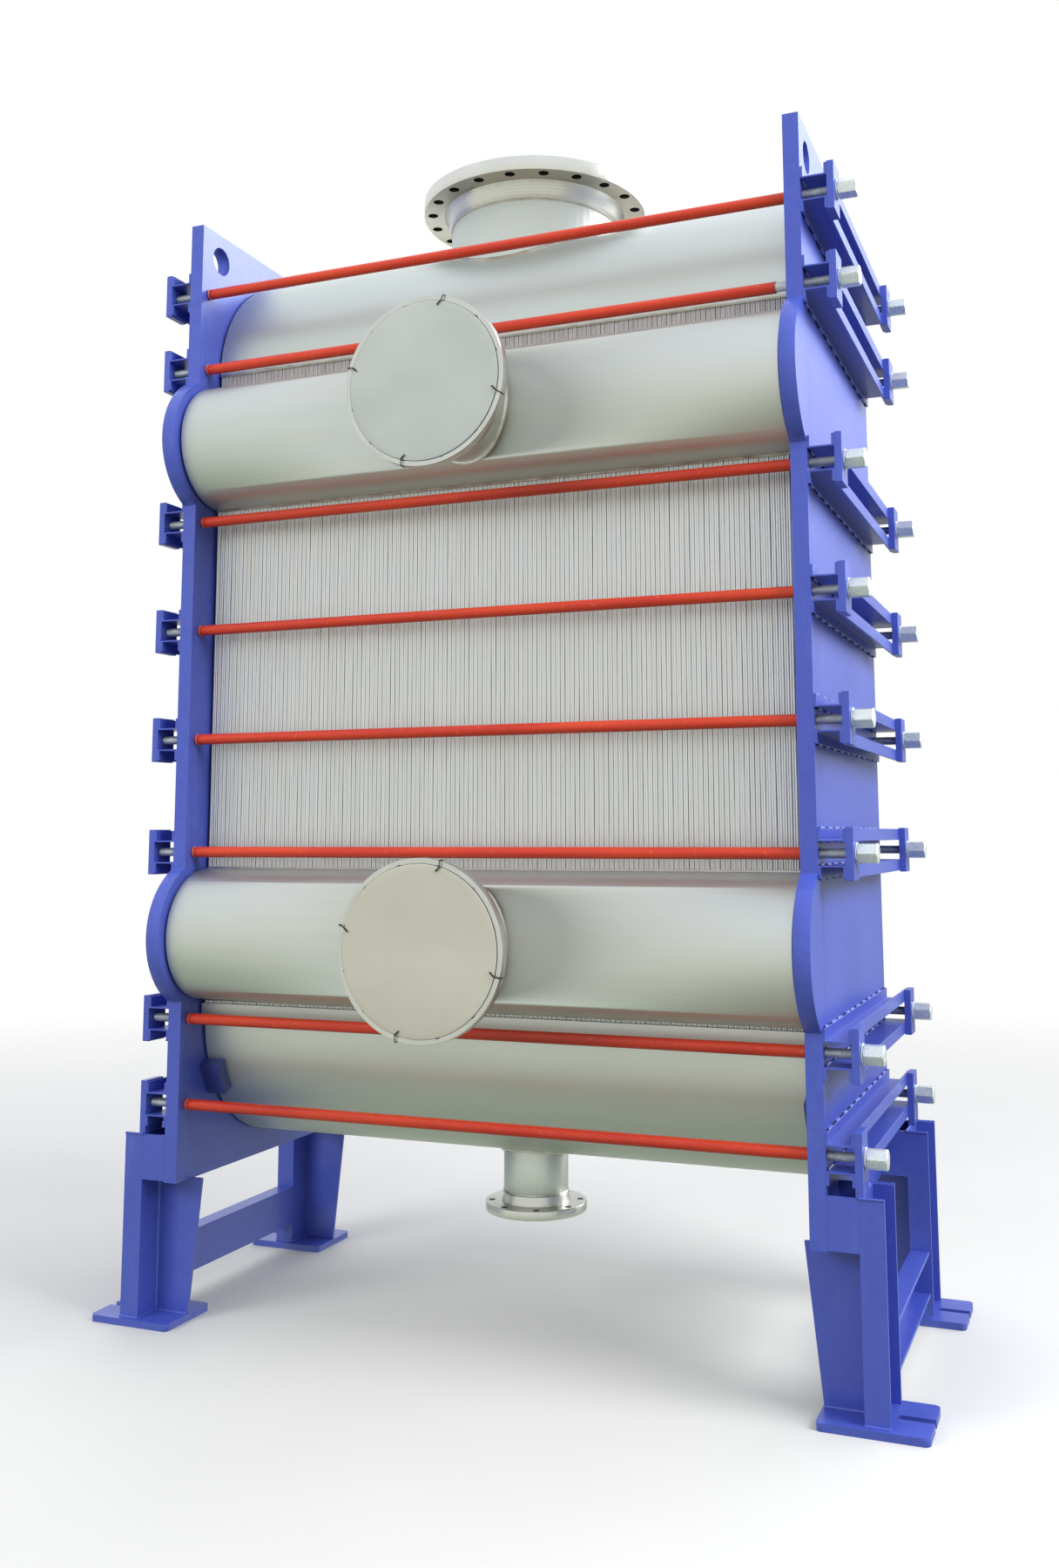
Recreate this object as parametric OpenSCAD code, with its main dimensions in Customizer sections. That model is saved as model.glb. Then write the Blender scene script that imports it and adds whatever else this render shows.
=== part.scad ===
// Welded plate heat exchanger with half-cylinder headers, clamped between two end plates.
// Frame: +Z up, X across the plate stack, -Y is the side with the two blanked ports.
// The origin lies on the floor, under the middle of the outer box.

/* [End plates] */
// Clear distance between the two end plates
plate_gap = 2100; // [1800:10:2600]
// Thickness of an end plate
end_plate_t = 50; // [40:1:60]
// Front-to-back depth of an end plate, without its bulges
end_plate_depth = 1150; // [1130:10:1200]
// Height of an end plate
end_plate_h = 3320; // [3260:10:3400]
// Height of the end plates' bottom edge above the floor
end_plate_z = 460; // [440:5:500]
// Radius of the bulges that close the front headers
bulge_r = 250; // [235:1:265]
// Radius of the lifting holes
lift_hole_r = 50; // [40:1:55]
// Distance of the lifting holes from the plate's front and rear edges
lift_hole_in = 113; // [100:1:130]
// Distance of the lifting holes from the plate's top edge
lift_hole_down = 97; // [80:1:110]

/* [Plate pack] */
// Front-to-back depth of the pack
pack_depth = 920; // [900:10:940]
// Height of the pack
pack_h = 2260; // [2200:10:2300]
// Number of plate cassettes
cassette_count = 130; // [100:1:140]
// Part of the pitch that a cassette fills
cassette_fill = 0.75; // [0.5:0.05:0.85]
// Thickness of one plate
plate_t = 1; // [0.8:0.1:1.5]
// Thickness of the lining plate between an end plate and the pack
lining_t = 8; // [4:1:12]
// How far the lining plate stands back from the headers' outline
lining_inset = 14; // [6:1:20]
// Height of the bars along the pack's bottom edges
edge_bar_h = 44; // [30:1:50]
// Thickness of the bars along the pack's bottom edges
edge_bar_t = 10; // [6:1:14]

/* [Headers] */
// Wall thickness of the header shells
header_wall = 12; // [8:1:16]
// Outer radius of the bottom header
bottom_header_r = 448; // [440:1:460]
// Outer radius of the two front headers
front_header_r = 220; // [210:1:226]
// Height of a front header's axis above or below the mid height
front_header_dz = 852; // [840:1:860]

/* [Top port] */
// Flange diameter
top_flange_d = 813; // [790:1:840]
// Flange thickness
top_flange_t = 50; // [40:1:60]
// Pipe outer diameter
top_pipe_d = 610; // [600:1:620]
// Bore radius of the flange
top_bore_r = 290; // [285:1:291]
// Bolt circle diameter
top_pcd = 749.3; // [740:0.1:755]
// Bolt hole radius
top_hole_r = 17.5; // [14:0.5:19]
// Height of the flange face above the floor
top_face_z = 3910; // [3880:5:3960]

/* [Bottom port] */
// Flange diameter
bottom_flange_d = 343; // [330:1:350]
// Flange thickness
bottom_flange_t = 29; // [24:1:34]
// Pipe outer diameter
bottom_pipe_d = 219; // [210:1:225]
// Bore radius of the flange
bottom_bore_r = 101; // [95:1:102]
// Bolt circle diameter
bottom_pcd = 298.5; // [290:0.1:300]
// Bolt hole radius
bottom_hole_r = 11; // [9:0.5:12]
// Height of the flange face above the floor
bottom_face_z = 345; // [330:5:380]

/* [Front ports] */
// Flange diameter
front_flange_d = 533; // [520:1:540]
// Flange thickness
front_flange_t = 36; // [30:1:40]
// Pipe outer diameter
front_pipe_d = 356; // [350:1:360]
// Bore radius of the flange
front_bore_r = 166; // [160:1:168]
// Bolt circle diameter
front_pcd = 476.3; // [470:0.1:480]
// Bolt hole radius
front_hole_r = 14.5; // [12:0.5:15]
// Reach of the flange face in front of the end plates' front edge
front_face_reach = 326; // [300:1:350]
// Diameter of the thin transport blank over a front port
blank_d = 500; // [480:1:500]
// Thickness of the blank
blank_t = 4; // [3:1:6]
// Wire diameter of the ties that hold the blank
tie_d = 5; // [4:0.5:6]

/* [Tie rods] */
// Diameter of a tie rod
rod_d = 30; // [27:1:32]
// Outer diameter of the red sleeves on the rods
sleeve_d = 37; // [35:1:40]
// Distance of the rods' axes from the end plates' front and rear edges
rod_in = 46; // [40:1:50]
// Across-flats size of the nuts
nut_af = 55; // [50:1:60]
// Length of the nuts
nut_l = 58; // [40:1:70]
// Diameter of the washers
washer_d = 62; // [58:1:66]
// Thickness of the washers
washer_t = 5; // [3:1:8]

/* [Clamping beams] */
// Depth of a beam channel, out from the end plate
channel_h = 80; // [60:1:100]
// Flange width of a beam channel
channel_b = 38; // [34:1:45]
// Web thickness of a beam channel
channel_web = 5; // [4:0.5:8]
// Flange thickness of a beam channel
channel_flange = 8; // [6:0.5:10]
// Clear height of the slot between the two channels of a beam
beam_slot = 68; // [64:1:80]
// Thickness of the bearing plates under the nuts
bearing_t = 22; // [16:1:26]
// Height of the bearing plates
bearing_h = 152; // [140:1:160]

/* [Legs] */
// Depth of a leg column, front to back
column_h = 200; // [180:1:220]
// Flange width of a leg column
column_b = 70; // [60:1:75]
// Flange thickness of a leg column
column_flange = 11; // [9:1:13]
// Web thickness of a leg column
column_web = 9; // [7:1:12]
// Distance from an end plate's outer face to the leg column
column_out = 87; // [80:1:95]
// Height of the leg column's top above the floor
column_top_z = 610; // [600:1:615]
// Thickness of the tapered plate under an end plate
taper_t = 12; // [10:1:16]
// Width of a base plate, across the stack
foot_w = 305; // [290:1:320]
// Depth of a base plate
foot_d = 241; // [230:1:260]
// Thickness of a base plate
foot_t = 22; // [18:1:30]
// How far a base plate stands out past the end plate's front or rear edge
foot_over = 21; // [15:1:30]
// Radius of the base plates' corners
foot_corner_r = 18; // [8:1:30]
// Width of the open slot for the anchor bolt
slot_w = 28; // [22:1:32]
// Length of the open slot for the anchor bolt
slot_l = 96; // [80:1:100]
// Height of a cross bar
cross_h = 140; // [120:1:160]
// Flange width of a cross bar
cross_b = 63; // [50:1:65]
// Height of a cross bar's underside above the floor
cross_z = 90; // [70:1:110]

/* [Hidden] */
$fn = 64;
eps = 1;

// Colours
enamel = [0.33, 0.36, 0.78];
sleeve_red = [0.80, 0.24, 0.17];
stainless = [0.76, 0.77, 0.76];
bright_steel = [0.82, 0.82, 0.80];
blank_grey = [0.74, 0.76, 0.73];
zinc = [0.80, 0.82, 0.80];
dark_wire = [0.15, 0.15, 0.15];

// Places across the stack
inner_x = plate_gap / 2;
outer_x = inner_x + end_plate_t;
pack_x = inner_x - lining_t;
bearing_x = outer_x + channel_h;
washer_x = bearing_x + bearing_t;
nut_x = washer_x + washer_t;
column_x = outer_x + column_out;

// Places front to back: the outer box runs from the wire ties to the rear base plates
front_reach = front_face_reach + blank_t + tie_d;
front_y = front_reach - (front_reach + end_plate_depth + foot_over) / 2;
rear_y = front_y + end_plate_depth;
mid_y = front_y + end_plate_depth / 2;
pack_y = mid_y - pack_depth / 2;
front_face_y = front_y - front_face_reach;

// Heights
mid_z = end_plate_z + end_plate_h / 2;
pack_top_z = mid_z + pack_h / 2;
pack_bottom_z = mid_z - pack_h / 2;
header_r = pack_depth / 2;
upper_front_z = mid_z + front_header_dz;
lower_front_z = mid_z - front_header_dz;
row_dz = [190, 575, 1132, 1412];
rod_rows = [for (s = [-1, 1]) for (d = row_dz) mid_z + s * d];

// Smaller details
front_pipe_wall = 8;
bottom_pipe_wall = 6;
hub_rise = 60;
small_hub_rise = 34;
top_hub_add = 54;
front_hub_add = 44;
bottom_hub_add = 14;
top_bolts = 20;
front_bolts = 12;
bottom_bolts = 8;
tied_holes = [2, 5, 8, 11];
rod_hole_r = rod_d / 2 + 2;
bearing_w = 2 * rod_in;
short_sleeve_gap = 40;
head_t = 12;
head_h = 146;
taper_top_in = 35;
taper_bottom_in = -10;
taper_y = column_h / 2 + 6;

module along_x(x0, x1, r, y, z) {
    translate([x0, y, z]) rotate([0, 90, 0]) cylinder(r = r, h = x1 - x0);
}

// ---------- end plates and lining ----------
module end_plate_blank() {
    translate([inner_x, front_y, end_plate_z]) cube([end_plate_t, end_plate_depth, end_plate_h]);
    for (z = [upper_front_z, lower_front_z]) along_x(inner_x, outer_x, bulge_r, pack_y, z);
}

module end_plate() {
    difference() {
        end_plate_blank();
        for (y = [front_y + rod_in, rear_y - rod_in], z = rod_rows)
            along_x(inner_x - eps, outer_x + eps, rod_hole_r, y, z);
        for (y = [front_y + lift_hole_in, rear_y - lift_hole_in])
            along_x(inner_x - eps, outer_x + eps, lift_hole_r, y, end_plate_z + end_plate_h - lift_hole_down);
    }
}

module lining_plate() {
    in = lining_inset;
    translate([pack_x, pack_y + in, pack_bottom_z]) cube([lining_t, pack_depth - 2 * in, pack_h]);
    along_x(pack_x, inner_x, header_r - in, mid_y, pack_top_z);
    along_x(pack_x, inner_x, bottom_header_r - in, mid_y, pack_bottom_z);
    for (z = [upper_front_z, lower_front_z]) along_x(pack_x, inner_x, front_header_r - in, pack_y, z);
}

module left_end_plate() { color(enamel) mirror([1, 0, 0]) end_plate(); }
module right_end_plate() { color(enamel) end_plate(); }
module left_lining_plate() { color(stainless) mirror([1, 0, 0]) lining_plate(); }
module right_lining_plate() { color(stainless) lining_plate(); }

// ---------- plate pack ----------
// A cassette is two plates joined along their front and rear edges; its top and bottom stay open
module cassette(t) {
    difference() {
        translate([-t / 2, pack_y, pack_bottom_z]) cube([t, pack_depth, pack_h]);
        translate([-t / 2 + plate_t, pack_y + 2 * plate_t, pack_bottom_z - eps])
            cube([t - 2 * plate_t, pack_depth - 4 * plate_t, pack_h + 2 * eps]);
    }
}

module plate_cassettes() {
    pitch = 2 * pack_x / cassette_count;
    color(bright_steel)
        for (i = [0 : cassette_count - 1])
            translate([-pack_x + (i + 0.5) * pitch, 0, 0]) cassette(pitch * cassette_fill);
}

module bottom_edge_bars() {
    color(stainless)
        for (y = [pack_y - edge_bar_t, pack_y + pack_depth])
            translate([-pack_x, y, pack_bottom_z]) cube([2 * pack_x, edge_bar_t, edge_bar_h]);
}

// ---------- headers ----------
// A half tube along X; its open side faces the pack, which lies towards -Z before turning
module half_shell(r) {
    difference() {
        along_x(-pack_x, pack_x, r, 0, 0);
        along_x(-pack_x - eps, pack_x + eps, r - header_wall, 0, 0);
        translate([-pack_x - eps, -r - eps, -r - eps]) cube([2 * pack_x + 2 * eps, 2 * r + 2 * eps, r + eps]);
    }
}

module top_header_shell() {
    color(stainless) translate([0, mid_y, pack_top_z]) difference() {
        half_shell(header_r);
        cylinder(r = top_pipe_d / 2 - header_wall, h = header_r + eps);
    }
}

module bottom_header_shell() {
    color(stainless) translate([0, mid_y, pack_bottom_z]) mirror([0, 0, 1]) difference() {
        half_shell(bottom_header_r);
        cylinder(r = bottom_pipe_d / 2 - bottom_pipe_wall, h = bottom_header_r + eps);
    }
}

module front_header_shell(z) {
    color(stainless) translate([0, pack_y, z]) rotate([90, 0, 0]) difference() {
        half_shell(front_header_r);
        cylinder(r = front_pipe_d / 2 - front_pipe_wall, h = front_header_r + eps);
    }
}

module upper_front_header_shell() { front_header_shell(upper_front_z); }
module lower_front_header_shell() { front_header_shell(lower_front_z); }

// ---------- ports ----------
// A pipe standing on a header of radius header_radius, whose axis runs along X through the origin
module saddle_pipe(d, wall, header_radius, top) {
    difference() {
        cylinder(r = d / 2, h = top);
        translate([0, 0, -eps]) cylinder(r = d / 2 - wall, h = top + 2 * eps);
        along_x(-d, d, header_radius, 0, 0);
    }
}

// A weld-neck flange: its face is at z = 0 and its hub points to -Z
module neck_flange(d, t, bore_r, pipe_d, hub_d, rise, pcd, count, hole_r) {
    difference() {
        union() {
            translate([0, 0, -t]) cylinder(r = d / 2, h = t);
            translate([0, 0, -t - rise]) cylinder(r1 = pipe_d / 2, r2 = hub_d / 2, h = rise);
        }
        translate([0, 0, -t - rise - eps]) cylinder(r = bore_r, h = t + rise + 2 * eps);
        for (i = [0 : count - 1])
            rotate([0, 0, (i + 0.5) * 360 / count])
                translate([pcd / 2, 0, -t - eps]) cylinder(r = hole_r, h = t + 2 * eps, $fn = 32);
    }
}

module top_port_pipe() {
    color(stainless) translate([0, mid_y, pack_top_z])
        saddle_pipe(top_pipe_d, header_wall, header_r, top_face_z - top_flange_t - hub_rise - pack_top_z);
}

module top_port_flange() {
    color(bright_steel) translate([0, mid_y, top_face_z])
        neck_flange(top_flange_d, top_flange_t, top_bore_r, top_pipe_d, top_pipe_d + top_hub_add, hub_rise,
                    top_pcd, top_bolts, top_hole_r);
}

module bottom_port_pipe() {
    color(stainless) translate([0, mid_y, pack_bottom_z]) mirror([0, 0, 1])
        saddle_pipe(bottom_pipe_d, bottom_pipe_wall, bottom_header_r,
                    pack_bottom_z - bottom_face_z - bottom_flange_t - small_hub_rise);
}

module bottom_port_flange() {
    color(bright_steel) translate([0, mid_y, bottom_face_z]) mirror([0, 0, 1])
        neck_flange(bottom_flange_d, bottom_flange_t, bottom_bore_r, bottom_pipe_d,
                    bottom_pipe_d + bottom_hub_add, small_hub_rise, bottom_pcd, bottom_bolts, bottom_hole_r);
}

// Turns a port that points to +Z so that it points to -Y, at the height of a front header's axis
module at_front(y, z) { translate([0, y, z]) rotate([90, 0, 0]) children(); }

module front_port_pipe(z) {
    color(stainless) at_front(pack_y, z)
        saddle_pipe(front_pipe_d, front_pipe_wall, front_header_r,
                    pack_y - front_face_y - front_flange_t - small_hub_rise);
}

module front_port_flange(z) {
    color(bright_steel) at_front(front_face_y, z)
        neck_flange(front_flange_d, front_flange_t, front_bore_r, front_pipe_d, front_pipe_d + front_hub_add,
                    small_hub_rise, front_pcd, front_bolts, front_hole_r);
}

module front_blank(z) {
    color(blank_grey) at_front(front_face_y, z) cylinder(r = blank_d / 2, h = blank_t);
}

// Each tie is a loop of wire through a bolt hole and round the flange's rim
module front_blank_ties(z) {
    inner_r = front_pcd / 2;
    outer_r = front_flange_d / 2 + tie_d / 2;
    back = -front_flange_t - tie_d / 2;
    front = blank_t + tie_d / 2;
    color(dark_wire) at_front(front_face_y, z)
        for (hole = tied_holes) rotate([0, 0, (hole + 0.5) * 360 / front_bolts]) {
            for (r = [inner_r, outer_r])
                translate([r, 0, back]) cylinder(r = tie_d / 2, h = front - back, $fn = 16);
            for (level = [back, front]) {
                along_x(inner_r, outer_r, tie_d / 2, 0, level, $fn = 16);
                for (r = [inner_r, outer_r]) translate([r, 0, level]) sphere(r = tie_d / 2, $fn = 16);
            }
        }
}

module upper_front_port_pipe() { front_port_pipe(upper_front_z); }
module upper_front_port_flange() { front_port_flange(upper_front_z); }
module upper_front_blank() { front_blank(upper_front_z); }
module upper_front_blank_ties() { front_blank_ties(upper_front_z); }
module lower_front_port_pipe() { front_port_pipe(lower_front_z); }
module lower_front_port_flange() { front_port_flange(lower_front_z); }
module lower_front_blank() { front_blank(lower_front_z); }
module lower_front_blank_ties() { front_blank_ties(lower_front_z); }

// ---------- tie rods ----------
// A rod ends flush with the left bearing plate and passes right through its nut on the right
module tie_rods(y) {
    color(zinc) for (z = rod_rows) along_x(-washer_x, nut_x + nut_l, rod_d / 2, y, z);
}

// The second sleeve from the top stops short of the right end plate
module rod_sleeves(y) {
    color(sleeve_red) for (i = [0 : len(rod_rows) - 1]) {
        short = i == len(rod_rows) - 2 ? short_sleeve_gap : 0;
        difference() {
            along_x(-inner_x, inner_x - short, sleeve_d / 2, y, rod_rows[i]);
            along_x(-inner_x - eps, inner_x + eps, rod_d / 2, y, rod_rows[i]);
        }
    }
}

module front_tie_rods() { tie_rods(front_y + rod_in); }
module rear_tie_rods() { tie_rods(rear_y - rod_in); }
module front_rod_sleeves() { rod_sleeves(front_y + rod_in); }
module rear_rod_sleeves() { rod_sleeves(rear_y - rod_in); }

// ---------- clamping beams and bearing plates (right side; left is mirrored), washers and nuts ----------
// A channel along Y with its web below and its flanges up, at z = 0
module channel_bar() {
    difference() {
        translate([outer_x, front_y, 0]) cube([channel_h, end_plate_depth, channel_b]);
        translate([outer_x + channel_flange, front_y - eps, channel_web])
            cube([channel_h - 2 * channel_flange, end_plate_depth + 2 * eps, channel_b]);
    }
}

module upper_channels() {
    for (z = rod_rows) translate([0, 0, z + beam_slot / 2]) channel_bar();
}

module lower_channels() {
    for (z = rod_rows) translate([0, 0, z - beam_slot / 2]) mirror([0, 0, 1]) channel_bar();
}

// Places children at every right-hand rod end, on the rod's axis with +Z pointing out along +X
module at_rod_ends(x) {
    for (y = [front_y + rod_in, rear_y - rod_in], z = rod_rows)
        translate([x, y, z]) rotate([0, 90, 0]) children();
}

// The lowest bearing plates reach down to the tops of the legs
module bearing_plates() {
    for (y = [front_y + rod_in, rear_y - rod_in], z = rod_rows) {
        under = z == min(rod_rows) ? column_top_z : z - bearing_h / 2;
        difference() {
            translate([bearing_x, y - bearing_w / 2, under])
                cube([bearing_t, bearing_w, z + bearing_h / 2 - under]);
            along_x(bearing_x - eps, washer_x + eps, rod_d / 2, y, z);
        }
    }
}

module washers() {
    at_rod_ends(washer_x) difference() {
        cylinder(r = washer_d / 2, h = washer_t);
        translate([0, 0, -eps]) cylinder(r = rod_d / 2, h = washer_t + 2 * eps);
    }
}

module nuts() {
    at_rod_ends(nut_x) difference() {
        rotate([0, 0, 30]) cylinder(r = nut_af / 2 / cos(30), h = nut_l, $fn = 6);
        translate([0, 0, -eps]) cylinder(r = rod_d / 2, h = nut_l + 2 * eps);
    }
}

module left_upper_channels() { color(enamel) mirror([1, 0, 0]) upper_channels(); }
module left_lower_channels() { color(enamel) mirror([1, 0, 0]) lower_channels(); }
module right_upper_channels() { color(enamel) upper_channels(); }
module right_lower_channels() { color(enamel) lower_channels(); }
module left_bearing_plates() { color(enamel) mirror([1, 0, 0]) bearing_plates(); }
module right_bearing_plates() { color(enamel) bearing_plates(); }
module right_washers() { color(zinc) washers(); }
module right_nuts() { color(zinc) nuts(); }

// ---------- saddles that carry the bottom header ----------
// A curved block between the header and the end plate, low on the header's front and rear
left_saddle_w = 75;
right_saddle_w = 32;
saddle_t = 40;
saddle_from = 199;
saddle_to = 213;

module header_saddle(w) {
    difference() {
        intersection() {
            along_x(inner_x - w, inner_x, bottom_header_r + saddle_t, mid_y, pack_bottom_z);
            translate([inner_x - w, mid_y, pack_bottom_z]) rotate([90, 0, 90])
                linear_extrude(height = w)
                    polygon([[0, 0], for (a = [saddle_from, saddle_to]) pack_depth * [cos(a), sin(a)]]);
        }
        along_x(inner_x - w - eps, inner_x + eps, bottom_header_r, mid_y, pack_bottom_z);
    }
}

module header_saddles(w) {
    header_saddle(w);
    translate([0, 2 * mid_y, 0]) mirror([0, 1, 0]) header_saddle(w);
}

module left_header_saddles() { color(enamel) mirror([1, 0, 0]) header_saddles(left_saddle_w); }
module right_header_saddles() { color(enamel) header_saddles(right_saddle_w); }

// ---------- legs (front right; the others are mirrored) ----------
module leg_column() {
    difference() {
        translate([column_x, front_y, foot_t]) cube([column_b, column_h, column_top_z - foot_t]);
        translate([column_x + column_web, front_y + column_flange, foot_t - eps])
            cube([column_b, column_h - 2 * column_flange, column_top_z + 2 * eps]);
    }
}

// Two cheek plates and a cap between the end plate and the column
module leg_head() {
    for (y = [front_y, front_y + column_h - head_t])
        translate([outer_x, y, column_top_z - head_h]) cube([column_out, head_t, head_h]);
    translate([outer_x, front_y + head_t, column_top_z - head_h])
        cube([column_out, column_h - 2 * head_t, head_t]);
}

module leg_taper() {
    translate([0, front_y + taper_y, 0]) rotate([90, 0, 0]) linear_extrude(height = taper_t)
        polygon([[inner_x - taper_top_in, end_plate_z], [inner_x - taper_bottom_in, foot_t],
                 [column_x, foot_t], [column_x, end_plate_z]]);
}

// What has to go from the corner of a plate at the origin to round it
module corner_waste(r) {
    difference() {
        translate([-eps, -eps, -eps]) cube([r + eps, r + eps, foot_t + 2 * eps]);
        translate([r, r, -2 * eps]) cylinder(r = r, h = foot_t + 4 * eps);
    }
}

module base_plate() {
    foot_x = inner_x + 6;
    foot_y = front_y - foot_over;
    slot_mid = foot_y + foot_d / 2;
    difference() {
        translate([foot_x, foot_y, 0]) cube([foot_w, foot_d, foot_t]);
        for (i = [0, 1], j = [0, 1])
            translate([foot_x + i * foot_w, foot_y + j * foot_d, 0])
                mirror([i, 0, 0]) mirror([0, j, 0]) corner_waste(foot_corner_r);
        translate([foot_x + foot_w - slot_l, slot_mid - slot_w / 2, -eps])
            cube([slot_l + eps, slot_w, foot_t + 2 * eps]);
        translate([foot_x + foot_w - slot_l, slot_mid, -eps]) cylinder(r = slot_w / 2, h = foot_t + 2 * eps);
    }
}

module at_left() { mirror([1, 0, 0]) children(); }
module at_rear() { translate([0, 2 * mid_y, 0]) mirror([0, 1, 0]) children(); }

module front_left_leg_column() { color(enamel) at_left() leg_column(); }
module rear_left_leg_column() { color(enamel) at_rear() at_left() leg_column(); }
module front_right_leg_column() { color(enamel) leg_column(); }
module rear_right_leg_column() { color(enamel) at_rear() leg_column(); }
module front_left_leg_head() { color(enamel) at_left() leg_head(); }
module rear_left_leg_head() { color(enamel) at_rear() at_left() leg_head(); }
module front_right_leg_head() { color(enamel) leg_head(); }
module rear_right_leg_head() { color(enamel) at_rear() leg_head(); }
module front_left_leg_taper() { color(enamel) at_left() leg_taper(); }
module rear_left_leg_taper() { color(enamel) at_rear() at_left() leg_taper(); }
module front_right_leg_taper() { color(enamel) leg_taper(); }
module rear_right_leg_taper() { color(enamel) at_rear() leg_taper(); }
module front_left_base_plate() { color(enamel) at_left() base_plate(); }
module rear_left_base_plate() { color(enamel) at_rear() at_left() base_plate(); }
module front_right_base_plate() { color(enamel) base_plate(); }
module rear_right_base_plate() { color(enamel) at_rear() base_plate(); }

// A channel between the front and rear columns, with its flanges pointing outwards
module cross_bar() {
    flange = 9;
    web = 7;
    length = end_plate_depth - 2 * column_h;
    difference() {
        translate([column_x, front_y + column_h, cross_z]) cube([cross_b, length, cross_h]);
        translate([column_x + web, front_y + column_h - eps, cross_z + flange])
            cube([cross_b, length + 2 * eps, cross_h - 2 * flange]);
    }
}

module left_cross_bar() { color(enamel) at_left() cross_bar(); }
module right_cross_bar() { color(enamel) cross_bar(); }

left_end_plate();
right_end_plate();
left_lining_plate();
right_lining_plate();
plate_cassettes();
bottom_edge_bars();
top_header_shell();
bottom_header_shell();
upper_front_header_shell();
lower_front_header_shell();
top_port_pipe();
top_port_flange();
bottom_port_pipe();
bottom_port_flange();
upper_front_port_pipe();
upper_front_port_flange();
upper_front_blank();
upper_front_blank_ties();
lower_front_port_pipe();
lower_front_port_flange();
lower_front_blank();
lower_front_blank_ties();
front_tie_rods();
rear_tie_rods();
front_rod_sleeves();
rear_rod_sleeves();
left_upper_channels();
left_lower_channels();
right_upper_channels();
right_lower_channels();
left_bearing_plates();
right_bearing_plates();
right_washers();
right_nuts();
left_header_saddles();
right_header_saddles();
front_left_leg_column();
rear_left_leg_column();
front_right_leg_column();
rear_right_leg_column();
front_left_leg_head();
rear_left_leg_head();
front_right_leg_head();
rear_right_leg_head();
front_left_leg_taper();
rear_left_leg_taper();
front_right_leg_taper();
rear_right_leg_taper();
front_left_base_plate();
rear_left_base_plate();
front_right_base_plate();
rear_right_base_plate();
left_cross_bar();
right_cross_bar();
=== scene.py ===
"""Looks of a welded plate heat exchanger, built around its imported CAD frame. Metres, +Z up."""

import math
import random

import bpy
from mathutils import Euler, Matrix, Vector, noise


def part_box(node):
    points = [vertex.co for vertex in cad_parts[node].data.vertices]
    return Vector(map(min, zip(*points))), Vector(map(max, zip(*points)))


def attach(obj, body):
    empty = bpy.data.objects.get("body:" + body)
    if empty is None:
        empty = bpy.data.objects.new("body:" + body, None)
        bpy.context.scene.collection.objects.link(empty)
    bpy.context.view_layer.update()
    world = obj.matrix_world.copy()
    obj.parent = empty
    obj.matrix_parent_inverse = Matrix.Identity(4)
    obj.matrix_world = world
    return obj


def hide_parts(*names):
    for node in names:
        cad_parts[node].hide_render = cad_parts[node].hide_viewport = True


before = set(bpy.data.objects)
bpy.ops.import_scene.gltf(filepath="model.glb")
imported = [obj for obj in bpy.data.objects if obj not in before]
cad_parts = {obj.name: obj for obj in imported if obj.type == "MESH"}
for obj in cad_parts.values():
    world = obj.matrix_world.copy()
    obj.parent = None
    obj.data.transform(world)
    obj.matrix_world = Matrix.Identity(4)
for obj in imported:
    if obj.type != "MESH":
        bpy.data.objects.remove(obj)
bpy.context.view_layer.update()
random.seed(11)
UP = Vector((0, 0, 1))

# ---------------------------------------------------------------- places, read from the frame

plate_low, plate_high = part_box("right_end_plate")
pack_low, pack_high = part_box("plate_cassettes")
inner_x = plate_low.x
outer_x = plate_high.x
rear_y = plate_high.y
mid_y = (pack_low.y + pack_high.y) / 2
front_y = 2 * mid_y - rear_y
mid_z = (plate_low.z + plate_high.z) / 2

# rows of tie rods, as heights above and below the middle of the end plates
ROW_OFFSETS = (0.190, 0.575, 1.132, 1.412)
ROD_IN = 0.046  # from an end plate's edge to the rods
ROD_RADIUS = 0.015
SLEEVE_RADIUS = 0.0185
SLEEVE_CLEARANCE = 0.001
SHORT_SLEEVE_GAP = 0.040
NUT_ACROSS_FLATS = 0.055
rod_rows = [mid_z + side * offset for side in (-1, 1) for offset in ROW_OFFSETS]
short_row = len(ROW_OFFSETS) + 2  # the second row from the top
rod_y = {"front": front_y + ROD_IN, "rear": rear_y - ROD_IN}

CASSETTES = 130
BEAM_SLOT = 0.068  # between the two channels of a beam
CHANNEL_WIDTH = 0.038
TAPER_FOOT_IN = 0.012  # from an end plate's inner face to the end of a tapered plate's foot

# bolt holes of the flanges: how many, the radius of their circle, the radius of a hole
FRONT_BOLTS = (12, 0.4763 / 2, 0.0145)
TOP_BOLTS = (20, 0.7493 / 2, 0.0175)
BOTTOM_BOLTS = (8, 0.2985 / 2, 0.011)
TIED_HOLES = (2, 5, 8, 11)


# ---------------------------------------------------------------- mesh building

def turns(count):
    """Equal angles all the way round."""
    return [2 * math.pi * j / count for j in range(count)]


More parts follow.
